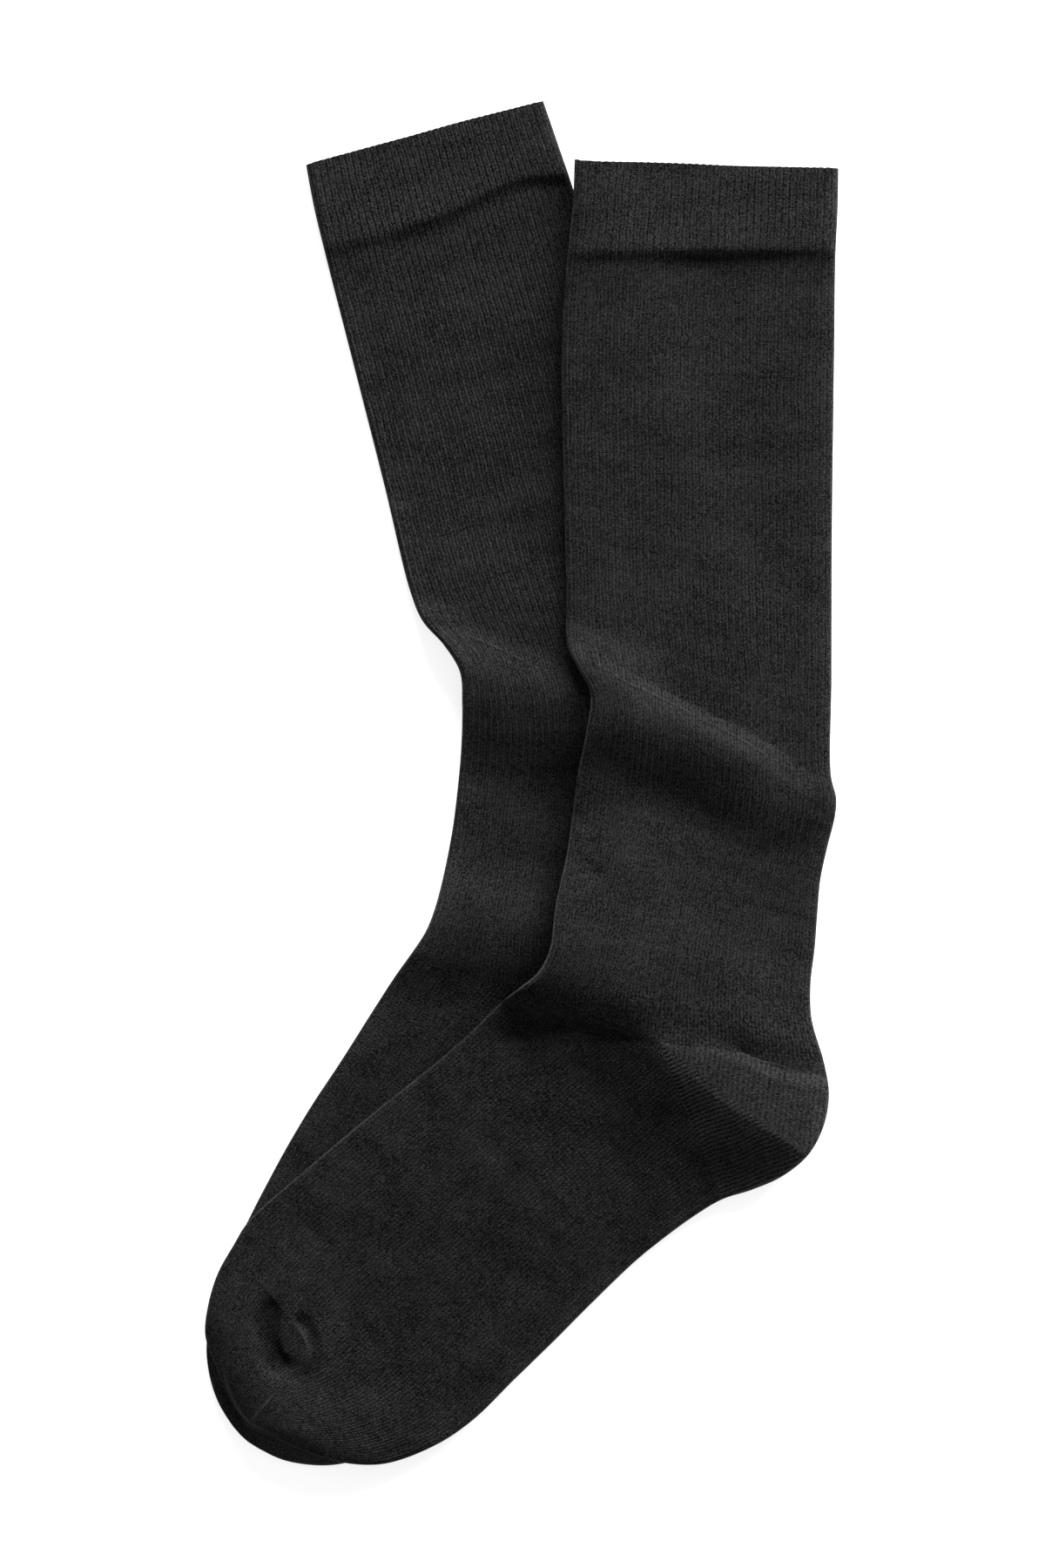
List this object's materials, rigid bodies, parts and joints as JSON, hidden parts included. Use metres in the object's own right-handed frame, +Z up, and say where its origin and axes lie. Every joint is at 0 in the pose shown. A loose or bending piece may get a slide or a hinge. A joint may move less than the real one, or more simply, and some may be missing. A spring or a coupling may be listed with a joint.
{
  "type": "pair of ribbed knee socks, laid flat",
  "caption": "Pair of dark knee-high socks laid flat, one across the other: double ribbed cuff, ribbed leg, heel pocket, plain foot and closed toe.",
  "frame": {"origin": "middle of the pair's plan outline, on the surface that the socks lie on", "axes": "+Z up from the surface, +Y from the toes towards the cuffs, +X towards the heels"},
  "size_m": [0.2179, 0.4695, 0.0212],
  "materials": {
    "cuff_rib": "matt charcoal cotton rib, double",
    "leg_rib": "matt charcoal cotton rib",
    "jersey": "matt charcoal cotton jersey"
  },
  "bodies": {
    "root": {"under_sock_cuff": "cuff_rib", "under_sock_leg": "leg_rib", "under_sock_heel": "jersey", "under_sock_foot": "jersey", "under_sock_toe": "jersey", "over_sock_cuff": "cuff_rib", "over_sock_leg": "leg_rib", "over_sock_heel": "jersey", "over_sock_foot": "jersey", "over_sock_toe": "jersey"}
  },
  "joints": []
}
